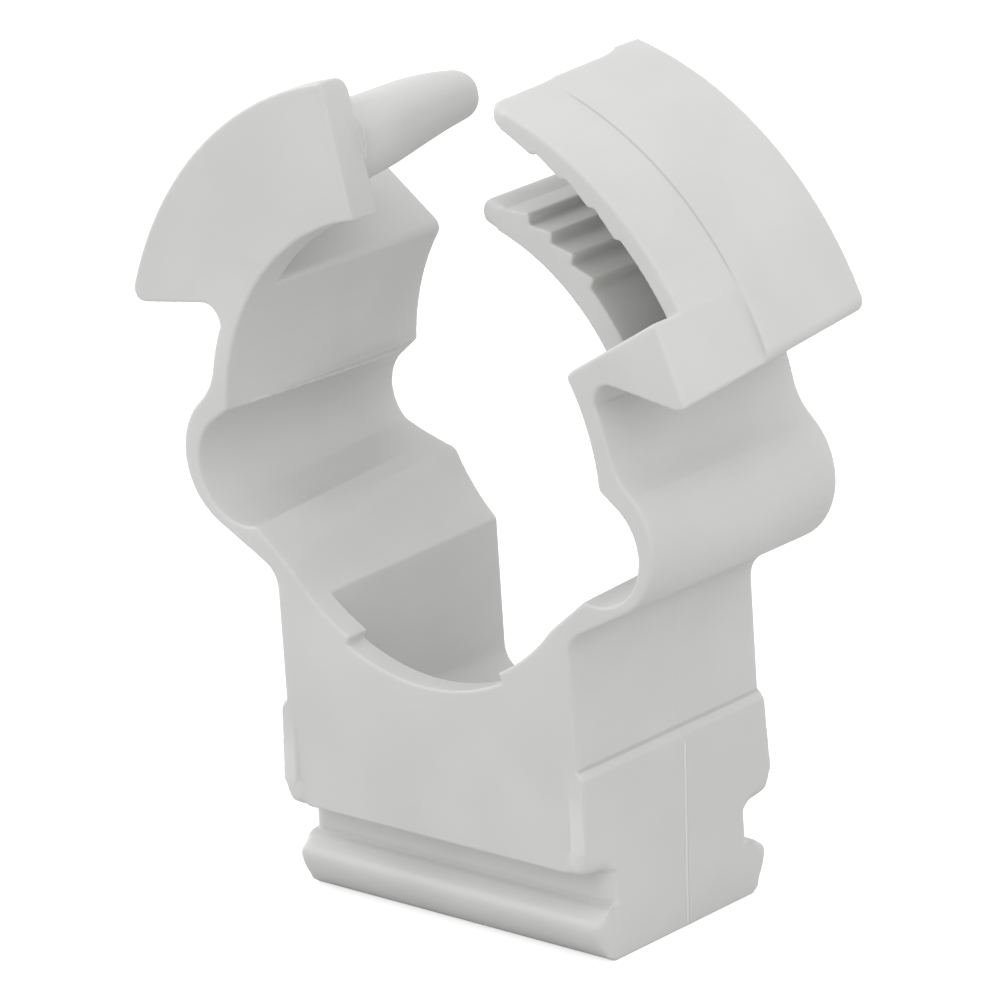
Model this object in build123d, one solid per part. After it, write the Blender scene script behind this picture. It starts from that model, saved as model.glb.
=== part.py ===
from build123d import *
import os
from math import cos, radians, sin, sqrt

# Pipe clip with a ratchet lock, one moulding, built open. Millimetres.
# X runs across the clip, Y along the pipe with the front at -Y, Z up from the foot's flat underside.

# Pipe ring
depth = 20.0              # size of the clip along the pipe
ring_z = 35.1             # height of the ring's axis above the foot
arm_inner_r = 17.6        # inside of the arms and heads while the clip is open
seat_r = 15.85            # pads that the pipe lies on, for a 32 mm pipe
rim_drop = 0.7            # how far the front wall's rim lies below the pads
rim_half_angle = 26.5     # half of the rim's arc, each side of straight down
seat_draft = 0.8          # degrees by which the hollows narrow from the front to the back
arm_draft = 1.2
arm_wall = 1.5
arm_top_angle = 68.0      # the thin arms end inside the heads
arm_low_angle = 92.0      # and inside the spring loops, both from straight up

# Spring loops between the seat and the arms
loop_x = 16.6
loop_z = 32.3
loop_outer_r = 5.5
loop_blend = 4.5          # soft turn from the arm into the loop
pocket_x = 16.6
pocket_z = 31.75
pocket_r = 4.15
pocket_back_x = 16.6      # centre and radius of the same hollow at the back, where it is narrower
pocket_back_z = 32.3
pocket_back_r = 3.3
pocket_top_angle = 86.5   # where the pocket's upper edge meets the arm, from straight up
ramp_angle = 41.0         # a ramp to the seat starts here, from straight down
lip_angle = 15.0          # its lower end at the front, past straight down on the same circle
lip_back_x = 14.3         # and at the back, where it is almost flat
lip_back_z = 28.4
ramp_back_bulge = 0.1
seat_top_angle = 130.0    # upper end of the seat's circle at the front, from straight up
seat_back_angle = 116.5   # and at the back
shoulder_slope = 28.0     # rise of the loop's underside from the neck
shoulder_fillet = 2.2

# Neck, base block and cavity
neck_half_w = 13.8
block_half_w = 14.35
step_z = 14.8             # ledge where the neck meets the wider block
step_run = 0.55
step_drop = 0.35
corner_rib_w = 1.25       # ribs that stand proud on the block's upright corners
corner_rib_h = 0.37
corner_rib_top = 14.4
block_corner_r = 0.9      # lower corners of the block, over the grooves
front_wall = 2.0
cavity_half_w = 10.4
cavity_floor_z = 11.8
cavity_corner_r = 2.0

# Foot with its two rail grooves
groove_depth = 2.3
groove_roof_z = 6.7
roof_rise = 0.25
groove_floor_z = 4.2
lip_setback = 0.5
lip_z = 3.2
foot_setback = 2.4        # flat underside starts this far in from the front and back
foot_bulge = 0.5          # how far the foot's rounded edge stands out from a straight bevel
groove_corner_r = 1.2     # upright corners of the foot between its grooves

# Hollows in the foot's underside, which keep the walls even
core_wall = 2.0
core_w = 2.9
core_rib = 1.5
core_count = 2            # on each side of the screw hole
core_roof = 2.2           # left under the cavity's floor

# Screw hole in the foot
screw_hole_d = 4.5
screw_head_d = 9.0

# Heads
head_outer_r = 27.5
cheek = 2.7               # thickness of the two front cheeks
left_end_angle = 12.6
right_end_angle = 59.2
head_low_angle = 88.0     # the heads' rings end here, below their cut undersides
cheek_corner_r = 1.2      # lower inner corner of the right cheek
cheek_edge_r = 1.2        # top edge at the back of the left cheek
notch_corner_r = 0.8      # inner corner of the left arm's end, under the tongue
beak_drop = 0.25          # how far the front of the right head is flattened at its lower end
beak_low_angle = 74.0     # where that flat reaches its lower end
parting_y = -1.0          # the two halves of the cover meet here, a little in front of the middle
parting_step = 0.12       # the cover's front half is this much lower
under_front_z = 44.2      # height of the heads' undersides at the arm, at the front
under_front_slope = -8.4  # degrees that they rise outwards there
under_back_z = 40.5       # the same at the back, so that each underside is twisted
under_back_slope = 31.0
under_inner_r = 1.5       # hollow where the underside turns down into the arm
under_edge_r = 0.9        # rounded outer edge of the underside

# Cover, ratchet plate and tongue
cover_wall = 1.5
cover_end_angle = 12.6
cover_end_slant = 1.1     # how much further the cover's end is cut back at the front
cover_corner_r = 1.0      # its front corner, seen from above
plate_corner_r = 1.2      # the same corner of the ratchet plate
back_wall = 2.7
plate_setback = 4.7       # the plate's front, behind the front of the clip
plate_wall = 1.8
plate_end_angle = 12.0
plate_nose_r = 1.0
first_tooth_angle = 25.7
tooth_pitch_angle = 6.5
tooth_drop_angle = 0.8    # part of the pitch taken by a tooth's steep side
tooth_count = 4
tooth_height = 0.75
cover_tooth_height = 0.35  # shallow teeth under the cover
cover_tooth_y = 6.0       # length of those teeth along the pipe
tongue_end_angle = 10.9
tongue_wall = 4.9
tongue_gap = 0.4          # between the tongue and the cover above it
tongue_back_gap = 2.3     # between the tongue and the back wall
tongue_nose_r = 2.2
tongue_back_r = 1.6
tongue_taper = 1.2        # how much thinner the tongue is at its back end
notch_angle = 53.5        # end of the left arm under the tongue
cover_stop_angle = 60.5   # end of the left head's outer part

overlap = 0.6             # how far added shapes reach into what they grow from


def draft_run(angle):
    """How much a side moves in over the whole depth at a draft angle."""
    return depth * sin(radians(angle)) / cos(radians(angle))


front_y = -depth / 2
back_y = depth / 2
arm_outer_r = arm_inner_r + arm_wall
head_inner_r = arm_inner_r - draft_run(arm_draft)
root_angle = right_end_angle + 1.0    # cover, plate and back wall grow out of the right head from here


def polar(radius, angle):
    """Point at an angle from straight up, clockwise seen from the front."""
    return (radius * sin(radians(angle)), ring_z + radius * cos(radians(angle)))


def slab(sketch, y_from, y_to):
    """Profile drawn in X and Z, filled between two places along the pipe."""
    return Pos(0, y_from, 0) * extrude(Plane.XZ * sketch, y_to - y_from, dir=(0, 1, 0))


def outline(points):
    return make_face(Polyline(*points, points[0]))


def sector(r_in, r_out, angle_from, angle_to):
    """Piece of a ring round the pipe's axis."""
    mid = (angle_from + angle_to) / 2
    edges = [
        ThreePointArc(polar(r_out, angle_from), polar(r_out, mid), polar(r_out, angle_to)),
        Line(polar(r_out, angle_to), polar(r_in, angle_to)),
        ThreePointArc(polar(r_in, angle_to), polar(r_in, mid), polar(r_in, angle_from)),
        Line(polar(r_in, angle_from), polar(r_out, angle_from)),
    ]
    return make_face(Curve() + edges)


def corner_fillet(sketch, point, radius):
    corner = sketch.vertices().sort_by_distance((point[0], point[1], 0))[0]
    return fillet(corner, radius)


def shoulder_line():
    """Tangent point on the loop and foot of the sloping line on the neck's side."""
    slope = radians(shoulder_slope)
    touch = (loop_x + loop_outer_r * sin(slope), loop_z - loop_outer_r * cos(slope))
    foot = (neck_half_w, touch[1] - (touch[0] - neck_half_w) * sin(slope) / cos(slope))
    return touch, foot


def half_outer():
    """Right half of the solid outline: neck, loop and arm, closed to the ring's axis."""
    touch, foot = shoulder_line()
    wedge = outline([(0, step_z), (neck_half_w, step_z), foot, touch, (loop_x, loop_z), (0, ring_z)])
    wedge = corner_fillet(wedge, foot, shoulder_fillet)
    root = outline([(0, ring_z), (0, loop_z), (loop_x, loop_z), polar(arm_outer_r, arm_low_angle),
                    polar(arm_outer_r, arm_top_angle)])
    arm = sector(arm_inner_r - overlap, arm_outer_r, arm_top_angle, arm_low_angle)
    loop = Pos(loop_x, loop_z) * Circle(loop_outer_r)
    meeting = polar(arm_outer_r, pocket_top_angle)
    return corner_fillet(wedge + root + arm + loop, meeting, loop_blend)


def half_pocket(x, z, radius, arm_r, lip, ramp_bulge, low):
    """Hollow of the right spring loop, open to the ring, at one place along the pipe."""
    top = polar(arm_r, pocket_top_angle)
    dx, dz = top[0] - x, top[1] - z
    reach = sqrt(dx * dx + dz * dz)
    cos_t = radius / reach
    sin_t = sqrt(1 - cos_t * cos_t)
    touch = (x + radius * (dx * cos_t + dz * sin_t) / reach, z + radius * (dz * cos_t - dx * sin_t) / reach)
    ramp = (x + radius * sin(radians(ramp_angle)), z - radius * cos(radians(ramp_angle)))
    edges = [
        Line((0, top[1]), top),
        Line(top, touch),
        ThreePointArc(touch, (x + radius, z), ramp),
        SagittaArc(ramp, lip, ramp_bulge),
        Line(lip, low),
        Line(low, (0, low[1])),
        Line((0, low[1]), (0, top[1])),
    ]
    return make_face(Curve() + edges)


def tapered_disc(radius, angle):
    """Round hollow through the whole depth, wider at the front."""
    return Pos(0, 0, ring_z) * Rot(90, 0, 0) * Cone(radius - draft_run(angle), radius, depth)


def make_ring_hole():
    """Everything that is open between the arms, drawn out towards the front."""
    top_z = polar(arm_inner_r, pocket_top_angle)[1]
    keep = Pos(0, 0, top_z + arm_inner_r) * Box(4 * arm_inner_r, 2 * depth, 2 * arm_inner_r)
    upper = tapered_disc(arm_inner_r, arm_draft) & keep
    lip = (pocket_x - pocket_r * sin(radians(lip_angle)), pocket_z - pocket_r * cos(radians(lip_angle)))
    bulge = pocket_r * (1 - cos(radians(ramp_angle + lip_angle) / 2))
    front = half_pocket(pocket_x, pocket_z, pocket_r, arm_inner_r, lip, bulge, polar(seat_r, seat_top_angle))
    back = half_pocket(pocket_back_x, pocket_back_z, pocket_back_r, head_inner_r, (lip_back_x, lip_back_z),
                       ramp_back_bulge, polar(seat_r - draft_run(seat_draft), seat_back_angle))
    pocket = loft([(Pos(0, front_y, 0) * (Plane.XZ * front)).face(),
                   (Pos(0, back_y, 0) * (Plane.XZ * back)).face()], ruled=True)
    return upper + tapered_disc(seat_r, seat_draft) + pocket + mirror(pocket, Plane.YZ)


def body_profile():
    half = half_outer()
    return half + mirror(half, Plane.YZ)


def make_base():
    """Foot, rail grooves and block, as one profile drawn in Y and Z."""
    inner = depth / 2 - groove_depth
    lip = depth / 2 - lip_setback
    flat = depth / 2 - foot_setback

    def side(s):
        return Curve() + [
            Line((0, 0), (s * flat, 0)),
            SagittaArc((s * flat, 0), (s * lip, lip_z), -s * foot_bulge),
            Line((s * lip, lip_z), (s * inner, groove_floor_z)),
            Line((s * inner, groove_floor_z), (s * inner, groove_roof_z)),
            Line((s * inner, groove_roof_z), (s * depth / 2, groove_roof_z + roof_rise)),
            Line((s * depth / 2, groove_roof_z + roof_rise), (s * depth / 2, step_z)),
            Line((s * depth / 2, step_z), (0, step_z)),
            Line((0, step_z), (0, 0)),
        ]

    profile = make_face(side(1)) + make_face(side(-1))
    block = Pos(-block_half_w, 0, 0) * extrude(Plane.YZ * profile, 2 * block_half_w, dir=(1, 0, 0))
    top_edges = block.edges().filter_by(Axis.Y).group_by(Axis.Z)[-1]
    block = chamfer(top_edges, step_drop, step_run)
    roof_edges = block.edges().filter_by(
        lambda e: groove_roof_z < (e @ 0.5).Z < groove_roof_z + roof_rise
        and abs((e @ 0.5).X) > block_half_w - step_run and abs((e @ 0.5).Y) > inner)
    return fillet(roof_edges, block_corner_r) - make_groove_corners(inner)


def make_groove_corners(inner):
    """What is cut away to round the foot's upright corners between lip and roof."""
    r = groove_corner_r
    sharp = Pos(block_half_w - r / 2, inner - r / 2) * Rectangle(r, r)
    corner = sharp - Pos(block_half_w - r, inner - r) * Circle(r)
    cut = Pos(0, 0, groove_floor_z) * extrude(corner, groove_roof_z - groove_floor_z)
    pair = cut + mirror(cut, Plane.YZ)
    return pair + mirror(pair, Plane.XZ)


def make_corner_ribs():
    """Thin wedges on the block's four upright corners, thickest at the bottom."""
    low_z = groove_roof_z + roof_rise + block_corner_r
    wedge = outline([(back_y - corner_rib_h, corner_rib_top), (back_y, corner_rib_top),
                     (back_y + corner_rib_h, low_z), (back_y - corner_rib_h, low_z)])
    rib = Pos(block_half_w - corner_rib_w, 0, 0) * extrude(Plane.YZ * wedge, corner_rib_w, dir=(1, 0, 0))
    pair = rib + mirror(rib, Plane.YZ)
    return pair + mirror(pair, Plane.XZ)


def make_cavity():
    hollow = Pos(0, (cavity_floor_z + ring_z) / 2) * Rectangle(2 * cavity_half_w, ring_z - cavity_floor_z)
    for x in (-cavity_half_w, cavity_half_w):
        hollow = corner_fillet(hollow, (x, cavity_floor_z), cavity_corner_r)
    return slab(hollow, front_y + front_wall, back_y)


def make_rim():
    """Lowered edge of the front wall between the pads."""
    return slab(sector(seat_r - rim_drop, seat_r + rim_drop, 180 - rim_half_angle, 180 + rim_half_angle),
                front_y, front_y + front_wall)


def make_cores():
    """Slots in the underside of the foot, in a row on each side of the screw hole."""
    length = depth - 2 * groove_depth - 2 * core_wall
    height = cavity_floor_z - core_roof
    slots = Part()
    for i in range(core_count):
        x = block_half_w - core_wall - core_w / 2 - i * (core_w + core_rib)
        for s in (-1, 1):
            slots += Pos(s * x, 0, height / 2) * Box(core_w, length, height)
    return slots


def make_screw_hole():
    hole = Pos(0, 0, cavity_floor_z / 2) * Cylinder(screw_hole_d / 2, cavity_floor_z * 2)
    sink = (screw_head_d - screw_hole_d) / 2
    cone = Pos(0, 0, cavity_floor_z - sink / 2) * Cone(screw_hole_d / 2, screw_head_d / 2, sink)
    return hole + cone


def under_head(s):
    """What is cut away below a head, as a twisted wedge from the front to the back."""
    in_x = arm_inner_r
    out_x = head_outer_r + overlap

    def section(inner_z, slope):
        rise = (out_x - in_x) * sin(radians(slope)) / cos(radians(slope))
        corner = (s * in_x, inner_z)
        face = outline([corner, (s * out_x, inner_z + rise), (s * out_x, ring_z), (s * in_x, ring_z)])
        return corner_fillet(face, corner, under_inner_r)

    front = Pos(0, front_y, 0) * (Plane.XZ * section(under_front_z, under_front_slope))
    back = Pos(0, back_y, 0) * (Plane.XZ * section(under_back_z, under_back_slope))
    return loft([front.face(), back.face()], ruled=True)


def ring_radius(edge):
    """Distance of an edge's middle from the pipe's axis."""
    middle = edge @ 0.5
    return sqrt(middle.X ** 2 + (middle.Z - ring_z) ** 2)


def head_block(s, start_angle, r_out, y_from, y_to):
    return slab(sector(head_inner_r, r_out, s * start_angle, s * head_low_angle), y_from, y_to)


def saw_teeth(r_root, r_tip, r_buried):
    """Row of saw teeth on a ring: a slow rise, then a drop on the side away from the mouth."""
    teeth = Sketch()
    for i in range(tooth_count):
        drop = first_tooth_angle + i * tooth_pitch_angle
        rise = drop - tooth_pitch_angle
        teeth += outline([polar(r_buried, rise), polar(r_root, rise), polar(r_tip, drop - tooth_drop_angle),
                          polar(r_root, drop), polar(r_buried, drop)])
    return teeth


def make_tongue(r_out):
    """Finger that slides under the cover. It tapers to the back, and its nose and back end are rounded."""
    end_y = back_y - back_wall - tongue_back_gap

    def section(y, taper):
        profile = sector(r_out - tongue_wall + taper, r_out, -tongue_end_angle, -notch_angle - 1)
        for radius in (r_out, r_out - tongue_wall + taper):
            profile = corner_fillet(profile, polar(radius, -tongue_end_angle), tongue_nose_r - taper / 2)
        return (Pos(0, y, 0) * (Plane.XZ * profile)).face()

    tongue = loft([section(front_y + cheek, 0), section(end_y, tongue_taper)], ruled=True)
    root_x = polar(r_out, -notch_angle)[0]
    back_edges = tongue.edges().filter_by(lambda e: (e @ 0.5).Y > end_y - overlap and (e @ 0.5).X > root_x)
    return fillet(back_edges, tongue_back_r)


def make_left_head():
    tongue_r = head_outer_r - cover_wall - tongue_gap
    cheek_back_y = front_y + cheek
    cheek_2d = sector(head_inner_r, head_outer_r, -left_end_angle, -head_low_angle)
    cheek_part = slab(cheek_2d, front_y, cheek_back_y)
    top_edge = cheek_part.edges().filter_by(
        lambda e: (e @ 0.5).Y > cheek_back_y - overlap and ring_radius(e) > head_outer_r - overlap)
    cheek_part = fillet(top_edge, cheek_edge_r)
    outer = head_block(-1, cover_stop_angle, head_outer_r, front_y, back_y)
    inner_2d = sector(head_inner_r, tongue_r, -notch_angle, -head_low_angle)
    inner = slab(corner_fillet(inner_2d, polar(head_inner_r, -notch_angle), notch_corner_r), front_y, back_y)
    return cheek_part + outer + inner + make_tongue(tongue_r)


def trim_in_plan(part, x_front, x_back, y_front, corner_r):
    """Cuts a part's free end along a line seen from above and rounds its front corner."""
    far = 2 * head_outer_r
    plan = outline([(x_front, y_front), (x_back, back_y), (far, back_y), (far, y_front)])
    plan = corner_fillet(plan, (x_front, y_front), corner_r)
    return part & extrude(Pos(0, 0, ring_z) * plan, far)


def make_cover():
    """Curved cover over the slot, with shallow teeth that hang from it over the ratchet plate."""
    r_in = head_outer_r - cover_wall
    start_y = front_y + cheek
    shell = slab(sector(r_in, head_outer_r, cover_end_angle, root_angle), start_y, back_y)
    end_x = polar(head_outer_r, cover_end_angle)[0]
    shell = trim_in_plan(shell, end_x + cover_end_slant, end_x, start_y, cover_corner_r)
    teeth = saw_teeth(r_in, r_in - cover_tooth_height, r_in + overlap)
    return shell + slab(teeth, start_y, start_y + cover_tooth_y)


def make_ratchet_plate():
    """Springy plate under the cover, with the teeth that catch the tongue."""
    r_out = arm_inner_r + plate_wall
    profile = sector(head_inner_r, r_out, plate_end_angle, root_angle)
    for radius in (head_inner_r, r_out):
        profile = corner_fillet(profile, polar(radius, plate_end_angle), plate_nose_r)
    start_y = front_y + plate_setback
    plate = slab(profile + saw_teeth(r_out, r_out + tooth_height, r_out - overlap), start_y, back_y)
    end_x = polar(head_inner_r, plate_end_angle)[0]
    return trim_in_plan(plate, end_x, end_x, start_y, plate_corner_r)


def make_right_head():
    cheek_2d = sector(head_inner_r, head_outer_r, right_end_angle, head_low_angle)
    cheek_2d = corner_fillet(cheek_2d, polar(head_inner_r, right_end_angle), cheek_corner_r)
    plate_y = front_y + plate_setback
    block = slab(cheek_2d, front_y, plate_y) + head_block(1, right_end_angle, head_outer_r, plate_y, back_y)
    wall = slab(sector(head_inner_r, head_outer_r, cover_end_angle, root_angle), back_y - back_wall, back_y)
    return block + make_cover() + make_ratchet_plate() + wall


def front_half_trim():
    """Thin slice off the front half of the right head: its beak is flat and the cover is lower by a step."""
    step_r = head_outer_r - parting_step
    far_r = 2 * head_outer_r
    top = Vector(*polar(step_r, right_end_angle))
    low = Vector(*polar(head_outer_r - beak_drop, beak_low_angle))
    below = low + (low - top)
    flat = outline([(top.X, top.Y), (below.X, below.Y), polar(far_r, head_low_angle),
                    polar(far_r, right_end_angle)])
    step = sector(step_r, head_outer_r + overlap, cover_end_angle / 2, right_end_angle)
    return slab(flat, front_y, parting_y) + slab(step, front_y, parting_y)


def round_under_edges(heads):
    """Rounds the long outer edge of each head's underside."""
    stop_z = polar(head_outer_r, cover_stop_angle)[1]
    low = [e for e in heads.edges()
           if abs((e @ 0).Y - (e @ 1).Y) > depth / 3 and ring_radius(e) > head_outer_r - overlap
           and (e @ 0.5).Z < stop_z]
    return fillet(low, under_edge_r)


def make_clip():
    body = slab(body_profile(), front_y, back_y) + make_base()
    heads = make_left_head() + make_right_head()
    heads = round_under_edges(heads - under_head(-1) - under_head(1)) - front_half_trim()
    clip = body + heads - make_ring_hole()
    clip = clip - make_cavity() - make_rim() - make_cores() - make_screw_hole()
    return clip + make_corner_ribs()


os.makedirs("parts", exist_ok=True)
clip_body = make_clip()
export_step(clip_body, "parts/clip_body.step")
print("clip_body", clip_body.bounding_box(), "volume", round(clip_body.volume))
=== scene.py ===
# %% [markdown]
# # A pale grey pipe clip
# The clip is one plastic moulding: a foot with two rail grooves, a ring for the pipe, two spring loops,
# and a ratchet lock at the top. The imported model already has its form, at its real size and in metres.
# This file gives it what a mould gives the real one: edges that are never quite sharp, the fine line where
# the mould's halves met, and a satin skin. The line is a bump, and on the block it also has a painted
# highlight; thin creases get painted shade. Then it sets up the light and the camera.

# %% Load the imported model
import math

import bpy
import bmesh
from mathutils import Matrix, Vector


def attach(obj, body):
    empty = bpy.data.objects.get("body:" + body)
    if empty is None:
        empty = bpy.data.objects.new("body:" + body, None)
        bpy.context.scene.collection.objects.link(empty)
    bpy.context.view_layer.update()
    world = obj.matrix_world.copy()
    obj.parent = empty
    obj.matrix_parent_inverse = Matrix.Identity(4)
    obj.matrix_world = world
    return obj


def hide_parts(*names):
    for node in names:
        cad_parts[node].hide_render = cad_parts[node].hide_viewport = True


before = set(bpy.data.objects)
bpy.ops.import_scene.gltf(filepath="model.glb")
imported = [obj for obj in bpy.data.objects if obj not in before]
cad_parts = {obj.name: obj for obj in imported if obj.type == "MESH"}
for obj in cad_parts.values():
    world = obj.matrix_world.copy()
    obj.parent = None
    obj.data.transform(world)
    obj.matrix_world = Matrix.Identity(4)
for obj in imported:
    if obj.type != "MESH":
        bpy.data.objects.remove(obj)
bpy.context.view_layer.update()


# %% [markdown]
# ## Sizes
# Blender works in metres here, so small sizes are written as a number times MM. The ring's axis runs along
# Y, and many features of the clip lie round it, so its height is named first. Every other size is named in
# the cell that first needs it.

# %% Name the shared sizes
MM = 0.001
RING_Z = 35.1 * MM
print("height of the ring's axis in metres:", RING_Z)

# %% [markdown]
# ## Nodes written as sums
# Materials and Geometry Nodes are both trees of nodes. One small class holds a node's output, so that a
# sum such as `1 - mask * 0.5` adds the Math nodes by itself. Its method `node` adds any other kind: first
# the type, then the settings, then the sockets.
# A mask is a number from 0 to 1 that says how much a place takes part. `smooth` rises from 0 to 1 between
# two limits, `between` is 1 from one limit to another and has a soft border of a given width, and `near` is
# 1 close to a middle value and 0 further off. Limits that belong together are kept as one named group.

# %% A wire between nodes
class Wire:
    """A node's output that takes part in Python sums."""

    def __init__(self, tree, socket=None):
        self.tree = tree
        self.socket = socket

    def node(self, kind, settings=None, inputs=None, output=None):
        """Adds a node and returns its output, the first one that is in use unless another is named."""
        new = self.tree.nodes.new(kind)
        for name, value in (settings or {}).items():
            setattr(new, name, value)
        for key, value in (inputs or {}).items():
            socket = pick(new.inputs, key)
            if isinstance(value, Wire):
                self.tree.links.new(value.socket, socket)
            else:
                socket.default_value = value
        return Wire(self.tree, pick(new.outputs, output))

    def math(self, operation, first, second=0.0):
        return self.node("ShaderNodeMath", {"operation": operation}, {0: first, 1: second})

    def __add__(self, other):
        return self.math("ADD", self, other)

    def __radd__(self, other):
        return self.math("ADD", other, self)

    def __sub__(self, other):
        return self.math("SUBTRACT", self, other)

    def __rsub__(self, other):
        return self.math("SUBTRACT", other, self)

    def __mul__(self, other):
        return self.math("MULTIPLY", self, other)

    def __rmul__(self, other):
        return self.math("MULTIPLY", other, self)

    def __abs__(self):
        return self.math("ABSOLUTE", self)

    def smooth(self, low, high):
        """0 below low, 1 above high, and a soft rise between them."""
        limits = {"Value": self, "From Min": low, "From Max": high}
        return self.node("ShaderNodeMapRange", {"interpolation_type": "SMOOTHSTEP"}, limits)

    def between(self, low, high, soft):
        """1 from low to high, with a soft rise and fall inside those limits."""
        return self.smooth(low, low + soft) * (1 - self.smooth(high - soft, high))

    def near(self, middle, half, reach):
        """1 up to half from the middle, 0 from reach on, and a soft fall between them."""
        return 1 - abs(self - middle).smooth(half, reach)


def pick(sockets, key):
    """Socket by number or name. A node can hold several of one name, of which one is in use."""
    if isinstance(key, int):
        return sockets[key]
    fitting = [socket for socket in sockets if socket.enabled and key in (None, socket.name)]
    return fitting[0] if fitting else None


def cleared(owner):
    """Turns on the nodes of a material or a world, clears them, and gives a wire to start from."""
    owner.use_nodes = True
    owner.node_tree.nodes.clear()
    return Wire(owner.node_tree)


# %% [markdown]
# ## Places on the clip
# The foot and the block are straight, so X, Y and Z say where a place on them is. The heads, the tongue and
# the pads follow the ring, and for them two other measures are better: the distance from the ring's axis,
# and the angle from straight up, in degrees, which is more than 0 on the right.

# %% Measure a place
def split(place):
    """X, Y and Z of a place."""
    return [place.node("ShaderNodeSeparateXYZ", inputs={"Vector": place}, output=axis) for axis in "XYZ"]


def round_ring(x, z):
    """The distance from the ring's axis and the angle from straight up."""
    rise = z - RING_Z
    radius = x.math("SQRT", x * x + rise * rise)
    angle = x.math("ARCTAN2", x, rise) * math.degrees(1)
    return radius, angle


# %% [markdown]
# ## The seam's ridge, painted shade and painted highlights
# The mould's two halves met near the middle of the block's sides and left a ridge there, which leans back a
# little and goes on faintly up the neck. The ridge is a bump in the material. Thin shadows along the step in
# the cover, at the ledge where the neck meets the block, and in the rail grooves are painted shade in the
# colour. The ridge on the block and the ribs' fronts catch more light, and that is a painted highlight in the
# colour. A painted picture could show all this, but masks that are worked out from the place need no
# unwrapping and stay sharp from close by.

# %% Find the ridge, the painted shade and the painted highlights
SEAM_Y = 0.3 * MM
SEAM_LEAN = 0.06
SEAM_WIDTH = (0.06 * MM, 0.2 * MM)
SEAM_SIDE_X = (13.0 * MM, 13.4 * MM)
BLOCK_TOP_Z = (13.4 * MM, 13.9 * MM)
NECK_TOP_Z = (22.0 * MM, 26.0 * MM)
RIDGE_ON_BLOCK = 0.06 * MM
RIDGE_ON_NECK = 0.012 * MM
RIB_FRONT_Y = (10.03 * MM, 10.2 * MM)
STEP_Y = -1.06 * MM
STEP_WIDTH = (0.02 * MM, 0.12 * MM)
COVER_RADIUS = (27.1 * MM, 27.3 * MM)
STEP_ANGLES = (17.0, 60.0, 6.0)
LEDGE_Z = 14.84 * MM
LEDGE_WIDTH = (0.04 * MM, 0.16 * MM)
LEDGE_SIDE_X = (13.2 * MM, 13.5 * MM)
LEDGE_END_Y = (9.7 * MM, 9.9 * MM)
GROOVE_Z = 4.2 * MM
GROOVE_Z_WIDTH = (0.1 * MM, 0.6 * MM)
GROOVE_Y = 7.7 * MM
GROOVE_Y_WIDTH = (0.1 * MM, 0.7 * MM)
STEP_SHADE = 0.6
LEDGE_SHADE = 0.5
GROOVE_SHADE = 0.25
SEAM_PAINTED_HIGHLIGHT = 0.9
RIB_PAINTED_HIGHLIGHT = 0.4


def seam_ridge_and_painted_light(place):
    """How high the ridge stands, and how far the colour goes to the painted shadow and to the painted
    highlight.
    """
    x, y, z = split(place)
    radius, angle = round_ring(x, z)
    seam = (y - z * SEAM_LEAN).near(SEAM_Y, *SEAM_WIDTH) * abs(x).smooth(*SEAM_SIDE_X)
    on_block = 1 - z.smooth(*BLOCK_TOP_Z)
    on_neck = 1 - z.smooth(*NECK_TOP_Z)
    step_line = y.near(STEP_Y, *STEP_WIDTH) * radius.smooth(*COVER_RADIUS) * angle.between(*STEP_ANGLES)
    ledge_line = (z.near(LEDGE_Z, *LEDGE_WIDTH) * abs(x).smooth(*LEDGE_SIDE_X)
                  * (1 - abs(y).smooth(*LEDGE_END_Y)))
    groove_line = z.near(GROOVE_Z, *GROOVE_Z_WIDTH) * abs(y).near(GROOVE_Y, *GROOVE_Y_WIDTH)
    ridge = seam * (on_neck * RIDGE_ON_NECK + on_block * RIDGE_ON_BLOCK)
    # Painted shade: a darker colour in the creases of the cover's step, the ledge and the rail grooves.
    painted_shade = step_line * STEP_SHADE + ledge_line * LEDGE_SHADE + groove_line * GROOVE_SHADE
    # Painted highlight: a lighter colour on the seam's ridge on the block and on the ribs' fronts.
    light = seam * on_block * SEAM_PAINTED_HIGHLIGHT + abs(y).smooth(*RIB_FRONT_Y) * RIB_PAINTED_HIGHLIGHT
    return ridge, painted_shade, light


# %% [markdown]
# ## The satin skin
# The plastic is pale grey all through. Three things keep it from looking like flat paint: a tone that
# drifts a little from place to place, a gloss that drifts with it, and a very fine grain, as a spark-eroded
# mould leaves. A little light also goes in and comes out again close by, which is what tells plastic from
# painted metal. Everything is worked out from Object coordinates, so it stays put when the clip is turned.

# %% Mix the plastic
PLASTIC = (0.62, 0.625, 0.61, 1)
PLASTIC_SHADE = (0.585, 0.59, 0.575, 1)
# A colour for painted shade in the creases, and one for a painted highlight on the seam and the ribs' fronts.
CREASE_SHADE = (0.4, 0.4, 0.39, 1)
PAINTED_HIGHLIGHT = (0.72, 0.72, 0.71, 1)
PATCHES_PER_METRE = 90.0
GRAINS_PER_METRE = 5200.0
GRAIN_HEIGHT = 0.004 * MM
DRIFT_LIMITS = (0.3, 0.7)
ROUGHNESS = 0.36
ROUGHNESS_DRIFT = 0.12
ROUGHNESS_GRAIN = 0.06


def noise(place, scale, detail):
    """A soft random pattern from 0 to 1."""
    spread = {"Vector": place, "Scale": scale, "Detail": detail}
    return place.node("ShaderNodeTexNoise", inputs=spread, output="Fac")


def blend(share, first, second):
    """A colour that goes from the first to the second as the share goes from 0 to 1."""
    colours = {"Factor": share, "A": first, "B": second}
    return share.node("ShaderNodeMix", {"data_type": "RGBA"}, colours, "Result")


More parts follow.
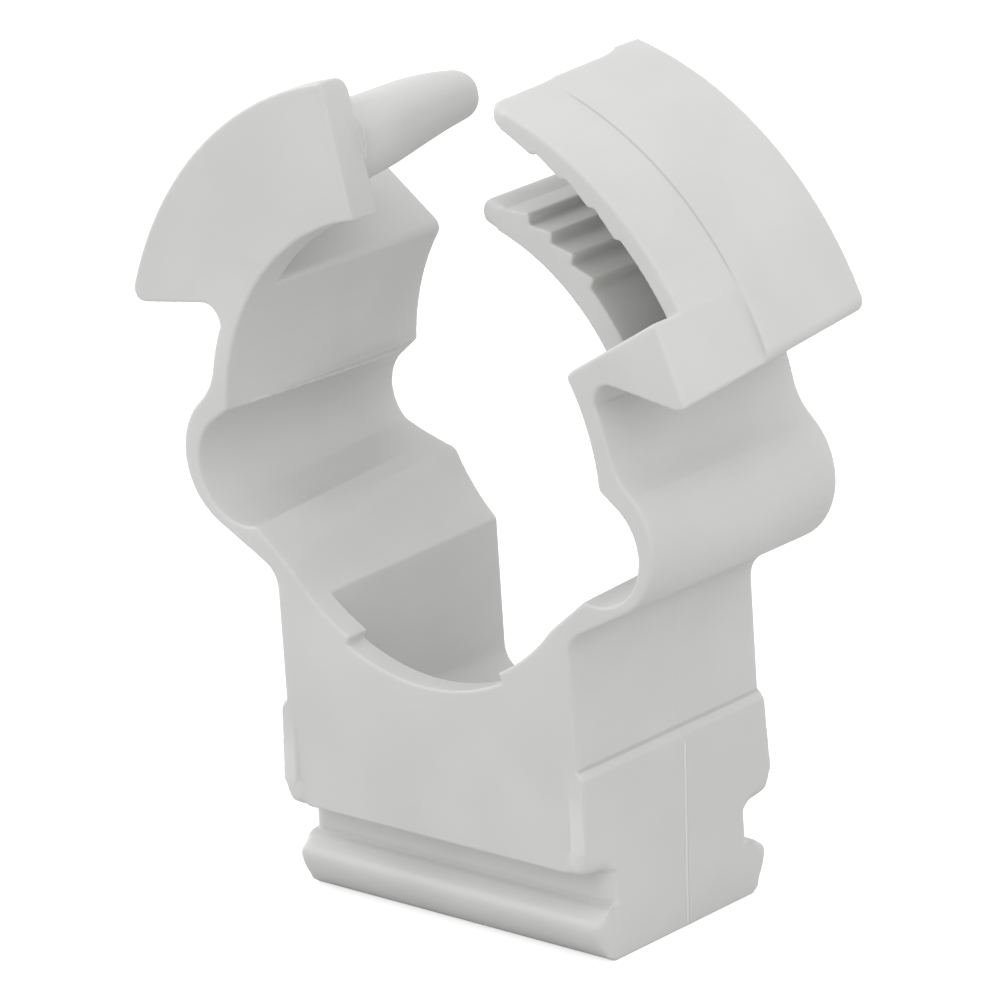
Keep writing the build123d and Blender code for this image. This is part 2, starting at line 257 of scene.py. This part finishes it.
def make_plastic():
    material = bpy.data.materials.new("pale_grey_plastic")
    start = cleared(material)
    place = start.node("ShaderNodeTexCoord", output="Object")
    drift = noise(place, scale=PATCHES_PER_METRE, detail=2.0)
    grain = noise(place, scale=GRAINS_PER_METRE, detail=3.0)
    ridge, painted_shade, light = seam_ridge_and_painted_light(place)
    tone = blend(drift.smooth(*DRIFT_LIMITS), PLASTIC_SHADE, PLASTIC)
    # Painted shade in the creases.
    tone = blend(painted_shade, tone, CREASE_SHADE)
    # Painted highlight on the seam's ridge and the ribs' fronts.
    tone = blend(light, tone, PAINTED_HIGHLIGHT)
    height = grain * GRAIN_HEIGHT + ridge
    skin = start.node("ShaderNodeBsdfPrincipled", inputs={
        "Base Color": tone,
        "Roughness": ROUGHNESS + drift * ROUGHNESS_DRIFT + grain * ROUGHNESS_GRAIN,
        "Normal": start.node("ShaderNodeBump", inputs={"Height": height, "Distance": 1.0, "Strength": 1.0}),
        "IOR": 1.49,
        "Subsurface Weight": 0.15,
        "Subsurface Radius": (1.0, 1.0, 1.0),
        "Subsurface Scale": 0.8 * MM,
    })
    start.node("ShaderNodeOutputMaterial", inputs={"Surface": skin})
    return material


plastic = make_plastic()
print("plastic nodes:", len(plastic.node_tree.nodes))

# %% [markdown]
# ## Edges that a mould can fill
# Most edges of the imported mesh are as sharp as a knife, which no moulding's edges are. A Bevel modifier
# would trip over the mesh's many short edges, so this follows what happens in the mould instead: the form is
# given a fine, even mesh, and the mesh is then relaxed, which rounds every edge and hollow by about the same
# small radius and leaves flats flat. First come the places that need more than that, then the tree that
# relaxes, and then the mesh.

# %% [markdown]
# ## The tongue, the cover's tip and the ribs' feet
# The tongue is a rounded thumb that is thickest at its front. The cover's outer face has a step along it,
# which runs out before the tip. The corner ribs stand out as far as the block's lower edge. All three are
# made by moving the fine mesh's points: along the ring's radius, round its axis, or along Y. Moved points
# keep the surface closed, while a new part would have to be joined to it. The tongue grows thicker by
# a fixed share of each millimetre towards the front, and its lengths along the ring are in degrees.

# %% Shape the tongue, the cover's tip and the ribs' feet
TONGUE_OUTER_RADIUS = 25.6 * MM
TONGUE_WALL = 4.9 * MM
TONGUE_ROOT_ANGLES = (-42.0, -30.0)
TONGUE_TIP_ANGLES = (-2.0, 0.0)
TONGUE_LENGTH_ANGLES = (-42.0, -14.0)
TONGUE_FRONT_Y = (-7.32 * MM, -7.1 * MM)
TONGUE_BACK_Y = (0.5 * MM, 5.0 * MM)
TONGUE_LENGTH_Y = (-7.3 * MM, -3.5 * MM)
THICKER_AT_MIDDLE = 0.5 * MM
THICKER_TO_FRONT = 0.096
LOWER_AT_BACK = 0.5 * MM
SHORTER_AT_FRONT = 1.7
LENGTH_GAIN_TO_BACK = 2.6
TIP_STEP_HEIGHT = 0.12 * MM
TIP_STEP_RADIUS = (27.0 * MM, 27.3 * MM)
TIP_STEP_START = (0.0, 10.0)
TIP_STEP_END = (15.0, 21.0)
TIP_STEP_Y = (-1.05 * MM, -1.0 * MM)
RIB_FOOT_X = (13.05 * MM, 13.15 * MM)
RIB_FOOT_Y = (9.3 * MM, 9.9 * MM)
RIB_FOOT_Z = (6.7 * MM, 7.86 * MM, 0.06 * MM)
RIB_FOOT_SPREAD = 0.034


def shaped_place(place):
    """Where a point belongs once the tongue, the cover's tip and the ribs' feet have their shape."""
    x, y, z = split(place)
    radius, angle = round_ring(x, z)
    on_tongue = (angle.smooth(*TONGUE_ROOT_ANGLES) * (1 - angle.smooth(*TONGUE_TIP_ANGLES))
                 * y.smooth(*TONGUE_FRONT_Y))
    depth_share = (TONGUE_OUTER_RADIUS - radius) * (1 / TONGUE_WALL)
    thicker = depth_share * (THICKER_AT_MIDDLE - y * THICKER_TO_FRONT)
    rounder = (1 - depth_share) * LOWER_AT_BACK * y.smooth(*TONGUE_BACK_Y)
    longer = (angle.smooth(*TONGUE_LENGTH_ANGLES)
              * (y.smooth(*TONGUE_LENGTH_Y) * LENGTH_GAIN_TO_BACK - SHORTER_AT_FRONT))
    on_step = (radius.smooth(*TIP_STEP_RADIUS) * angle.smooth(*TIP_STEP_START)
               * (1 - angle.smooth(*TIP_STEP_END)) * (1 - y.smooth(*TIP_STEP_Y)))
    on_rib_foot = abs(x).smooth(*RIB_FOOT_X) * z.between(*RIB_FOOT_Z) * abs(y).smooth(*RIB_FOOT_Y)
    new_radius = radius + on_step * TIP_STEP_HEIGHT - on_tongue * (thicker + rounder)
    new_angle = (angle + on_tongue * longer) * math.radians(1)
    return place.node("ShaderNodeCombineXYZ", inputs={
        "X": new_radius * place.math("SINE", new_angle),
        "Y": y * (1 + on_rib_foot * RIB_FOOT_SPREAD),
        "Z": new_radius * place.math("COSINE", new_angle) + RING_Z,
    })


# %% [markdown]
# ## Places that are rounder than the rest
# The rail lips, the upper ends of the pads, the lower ends of the ribs, and the tips of the plate and the
# cover have larger roundings than the other edges. Each has its own mask. A sum of masks could pass 1 where
# two of them meet, so the largest one counts instead. The tips are only a little rounder, so their mask is
# a low one.

# %% Mark the rounder places
LIP_Y = (8.2 * MM, 8.8 * MM)
LIP_BOTTOM_Z = (0.1 * MM, 0.4 * MM)
LIP_TOP_Z = (3.7 * MM, 4.0 * MM)
PAD_RADII = (15.2 * MM, 17.8 * MM, 0.4 * MM)
PAD_END_ANGLES = (116.3, 134.0, 1.2)
PAD_END_Y = (9.2 * MM, 9.7 * MM)
RIB_END_X = (12.4 * MM, 12.9 * MM)
RIB_END_Y = (7.2 * MM, 7.6 * MM)
RIB_END_Z = (5.2 * MM, 8.8 * MM, 0.6 * MM)
TIP_ANGLES = (5.0, 18.5, 1.5)
TIP_BACK_Y = (5.5 * MM, 7.0 * MM)
TIP_SHARE = 0.3


def worn_places(place):
    """1 on the rail lips, pads and ribs' ends, less on the tips of plate and cover, and 0 elsewhere."""
    x, y, z = split(place)
    radius, angle = round_ring(x, z)
    side, end = abs(x), abs(y)
    lips = (1 - z.smooth(*LIP_TOP_Z)) * end.smooth(*LIP_Y) * z.smooth(*LIP_BOTTOM_Z)
    pads = radius.between(*PAD_RADII) * abs(angle).between(*PAD_END_ANGLES) * (1 - end.smooth(*PAD_END_Y))
    rib_ends = z.between(*RIB_END_Z) * side.smooth(*RIB_END_X) * end.smooth(*RIB_END_Y)
    tips = angle.between(*TIP_ANGLES) * (1 - y.smooth(*TIP_BACK_Y)) * TIP_SHARE
    return place.math("MAXIMUM", place.math("MAXIMUM", lips, pads), place.math("MAXIMUM", rib_ends, tips))


# %% [markdown]
# ## A tree that relaxes the mesh
# The relaxing is a Geometry Nodes tree that blurs the points' places. Blurring also makes flats and large
# rounds a little wavy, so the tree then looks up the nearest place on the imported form. A point that is
# within a hair of it goes back there, and a point that is further off stays: that is one at an edge, or one
# that was shaped. Then the rounder places are blurred for longer, and a last short blur evens the whole.
# The numbers of steps are inputs of the tree, so they can be changed in the modifier.

# %% Build the relaxing tree
FLAT_REACH = 0.012 * MM
EDGE_REACH = 0.03 * MM
TREE_INPUTS = {
    "Geometry": "NodeSocketGeometry",
    "True Form": "NodeSocketObject",
    "Softening Steps": "NodeSocketInt",
    "Smoothing Steps": "NodeSocketInt",
    "Extra Steps": "NodeSocketInt",
}


def make_relaxing_tree():
    """The tree, and the identifier of each of its inputs."""
    tree = bpy.data.node_groups.new("relax_moulding", "GeometryNodeTree")
    identifiers = {}
    for name, kind in TREE_INPUTS.items():
        identifiers[name] = tree.interface.new_socket(name, in_out="INPUT", socket_type=kind).identifier
    tree.interface.new_socket("Geometry", in_out="OUTPUT", socket_type="NodeSocketGeometry")
    entry = tree.nodes.new("NodeGroupInput")
    given = {name: Wire(tree, entry.outputs[name]) for name in TREE_INPUTS}
    start = Wire(tree)
    place = start.node("GeometryNodeInputPosition")

    def moved(geometry, position):
        return start.node("GeometryNodeSetPosition", inputs={"Geometry": geometry, "Position": position})

    def blurred(steps, weight=1.0):
        return start.node("GeometryNodeBlurAttribute", {"data_type": "FLOAT_VECTOR"},
                          {"Value": place, "Iterations": steps, "Weight": weight})

    form = start.node("GeometryNodeObjectInfo", inputs={"Object": given["True Form"]}, output="Geometry")
    nearest = start.node("GeometryNodeProximity", {"target_element": "FACES"}, {"Geometry": form})
    distance = Wire(tree, nearest.socket.node.outputs["Distance"])
    settled_place = start.node("ShaderNodeMix", {"data_type": "VECTOR"},
                               {"Factor": distance.smooth(FLAT_REACH, EDGE_REACH), "A": nearest, "B": place})
    laid = moved(given["Geometry"], nearest)
    shaped = moved(laid, shaped_place(place))
    soft = moved(shaped, blurred(given["Softening Steps"]))
    settled = moved(soft, settled_place)
    worn = moved(settled, blurred(given["Extra Steps"], worn_places(place)))
    even = moved(worn, blurred(given["Smoothing Steps"]))
    whole = start.node("GeometryNodeRealizeInstances", inputs={"Geometry": even})
    painted = start.node("GeometryNodeSetMaterial", inputs={"Geometry": whole, "Material": plastic})
    leave = tree.nodes.new("NodeGroupOutput")
    tree.links.new(painted.socket, leave.inputs["Geometry"])
    return tree, identifiers


relaxing, input_ids = make_relaxing_tree()
print("relaxing tree nodes:", len(relaxing.nodes))

# %% [markdown]
# ## The fine mesh
# The Remesh modifier lays a grid of cubes through the form and draws a new, even surface over it. Its sharp
# mode keeps slanted edges straight, where its voxel mode would leave them in small steps. It needs a closed
# surface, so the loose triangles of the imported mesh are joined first, in a copy. The fine mesh has far more
# triangles than a part in a library should have. Decimate takes most of them out again after the relaxing,
# mainly from the flats.

# %% Tools for the mesh
JOIN_REACH = 0.001 * MM


def merged_copy(node, name):
    """The CAD node's mesh with its loose triangles joined, as an object of its own."""
    piece = bpy.data.objects.new(name, node.data.copy())
    bpy.context.scene.collection.objects.link(piece)
    work = bmesh.new()
    work.from_mesh(piece.data)
    bmesh.ops.remove_doubles(work, verts=work.verts, dist=JOIN_REACH)
    work.to_mesh(piece.data)
    work.free()
    return piece


def bake_modifiers(piece):
    """Turns what the modifiers show into the piece's own mesh."""
    seen = piece.evaluated_get(bpy.context.evaluated_depsgraph_get())
    mesh = bpy.data.meshes.new_from_object(seen)
    piece.modifiers.clear()
    piece.data = mesh


def triangle_count(mesh):
    return sum(len(face.vertices) - 2 for face in mesh.polygons)


# %% Round the moulding
GRID_DEPTH = 9
GRID_SCALE = 0.99
BLUR_STEPS = {"Softening Steps": 3, "Smoothing Steps": 1, "Extra Steps": 40}
MOST_TRIANGLES = 190000

packed_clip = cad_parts["clip_body"]
clip = merged_copy(packed_clip, "clip_moulding")
grid = clip.modifiers.new("grid", "REMESH")
grid.mode = "SHARP"
grid.octree_depth = GRID_DEPTH
grid.scale = GRID_SCALE
grid.use_remove_disconnected = False
relax = clip.modifiers.new("relax", "NODES")
relax.node_group = relaxing
relax[input_ids["True Form"]] = packed_clip
for name, steps in BLUR_STEPS.items():
    relax[input_ids[name]] = steps
bake_modifiers(clip)
full_count = triangle_count(clip.data)
thin = clip.modifiers.new("thin", "DECIMATE")
thin.ratio = min(1.0, MOST_TRIANGLES / full_count)
bake_modifiers(clip)
clip.data.shade_smooth()
print("triangles:", full_count, "thinned to", triangle_count(clip.data))

# %% [markdown]
# ## The moulding in the frame
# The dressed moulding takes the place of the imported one. The clip has no joint, so it rides on the root
# body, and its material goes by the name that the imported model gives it.

# %% Put the moulding in the frame
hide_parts("clip_body")
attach(clip, "root")
print("in the frame:", clip.name, "with", len(clip.data.materials), "material")

# %% [markdown]
# ## The floor
# Product pictures of such clips are taken in a light tent, with a pale floor that the picture shows as
# white. A white floor would throw too much light up at the clip, so this one is grey. To the camera it also
# glows, which lifts it to white and still leaves the clip's shadow on it.

# %% Lay the floor
FLOOR_GREY = (0.6, 0.6, 0.6, 1)
FLOOR_GLOW = 0.62
FLOOR_HALF = 4.0
WHITE = (1, 1, 1, 1)


def make_floor_material():
    material = bpy.data.materials.new("pale_floor")
    start = cleared(material)
    seen = start.node("ShaderNodeLightPath", output="Is Camera Ray")
    matt = start.node("ShaderNodeBsdfDiffuse", inputs={"Color": FLOOR_GREY})
    glow = start.node("ShaderNodeEmission", inputs={"Color": WHITE, "Strength": seen * FLOOR_GLOW})
    both = start.node("ShaderNodeAddShader", inputs={0: matt, 1: glow})
    start.node("ShaderNodeOutputMaterial", inputs={"Surface": both})
    return material


def make_floor():
    half = FLOOR_HALF
    mesh = bpy.data.meshes.new("floor")
    corners = [(-half, -half, 0), (half, -half, 0), (half, half, 0), (-half, half, 0)]
    mesh.from_pydata(corners, [], [(0, 1, 2, 3)])
    mesh.materials.append(make_floor_material())
    floor = bpy.data.objects.new("floor", mesh)
    bpy.context.scene.collection.objects.link(floor)
    return floor


floor = make_floor()
print("floor side in metres:", 2 * FLOOR_HALF)

# %% [markdown]
# ## The lamps
# In the tent the light is broad and even and comes from everywhere. Alone it would give every side of the
# clip nearly the same tone, so three large, weak lamps tell the sides apart: most light comes from the left,
# less from the right, and least from the front. Each lamp is a square that faces the clip, because a large
# lamp close by leaves no hard edge in the shadows.

# %% Hang the lamps
TARGET = Vector((0, 0, 30 * MM))
LAMP_SIDE = 0.6


def softbox(name, place, watts):
    """A square lamp that faces the clip."""
    data = bpy.data.lights.new(name, "AREA")
    data.shape = "SQUARE"
    data.size = LAMP_SIDE
    data.energy = watts
    lamp = bpy.data.objects.new(name, data)
    lamp.location = place
    lamp.rotation_euler = (TARGET - Vector(place)).to_track_quat("-Z", "Y").to_euler()
    bpy.context.scene.collection.objects.link(lamp)
    return lamp


lamps = [
    softbox("left_lamp", place=(-0.85, -0.1, 0.35), watts=2.5),
    softbox("front_lamp", place=(-0.25, -0.75, 0.75), watts=0.5),
    softbox("right_lamp", place=(0.9, -0.2, 0.45), watts=0.9),
]
print("lamps:", [lamp.name for lamp in lamps])

# %% [markdown]
# ## The tent
# The tent is the world's background. The camera and the reflections see it as plain white. To the matt
# light on the clip it is a little stronger than that, which lifts the plastic to its tone without making
# the reflections too bright.

# %% Light the tent
TENT_STRENGTH = 1.08
SEEN_STRENGTH = 1.0


def make_world():
    world = bpy.data.worlds.new("light_tent")
    start = cleared(world)
    camera, glossy, through = [start.node("ShaderNodeLightPath", output=name)
                               for name in ("Is Camera Ray", "Is Glossy Ray", "Is Transmission Ray")]
    seen = start.math("MINIMUM", camera + glossy + through, 1.0)
    strength = TENT_STRENGTH - seen * (TENT_STRENGTH - SEEN_STRENGTH)
    light = start.node("ShaderNodeBackground", inputs={"Color": WHITE, "Strength": strength})
    start.node("ShaderNodeOutputWorld", inputs={"Surface": light})
    return world


bpy.context.scene.world = make_world()
bpy.context.scene.view_settings.view_transform = "Standard"
print("tent nodes:", len(bpy.context.scene.world.node_tree.nodes))

# %% [markdown]
# ## The camera
# The picture looks down on the clip from its right-hand front, from half a metre away through a long lens,
# and is rolled a little. The camera turns round a point on the clip's middle line and is then moved aside by
# less than a millimetre. Straight and round edges tell how a picture was taken, and that is where the angles
# and the lens come from. Such a lens is known in pixels, and the sensor's width makes millimetres of it.

# %% Place the camera
AZIMUTH = math.radians(42.694)
ELEVATION = math.radians(18.41)
ROLL = math.radians(3.798)
DISTANCE = 521.88 * MM
IMAGE_WIDTH_PX = 1000
FOCAL_PX = 7345
SENSOR_MM = 36
PAN_RIGHT = -0.5755 * MM
PAN_UP = -0.416 * MM
NEAREST_SEEN = 0.01
FURTHEST_SEEN = 20


def make_camera():
    back = Vector((math.sin(AZIMUTH) * math.cos(ELEVATION), -math.cos(AZIMUTH) * math.cos(ELEVATION),
                   math.sin(ELEVATION)))
    level = Vector((math.cos(AZIMUTH), math.sin(AZIMUTH), 0))
    upright = back.cross(level)
    right = level * math.cos(ROLL) - upright * math.sin(ROLL)
    up = level * math.sin(ROLL) + upright * math.cos(ROLL)
    place = TARGET + back * DISTANCE + right * PAN_RIGHT + up * PAN_UP
    data = bpy.data.cameras.new("camera")
    data.sensor_width = SENSOR_MM
    data.lens = SENSOR_MM * FOCAL_PX / IMAGE_WIDTH_PX
    data.clip_start = NEAREST_SEEN
    data.clip_end = FURTHEST_SEEN
    camera = bpy.data.objects.new("camera", data)
    turn = Matrix((right, up, back)).transposed()
    camera.matrix_world = Matrix.Translation(place) @ turn.to_4x4()
    bpy.context.scene.collection.objects.link(camera)
    return camera


bpy.context.scene.camera = make_camera()
print("lens in mm:", round(bpy.context.scene.camera.data.lens, 1))
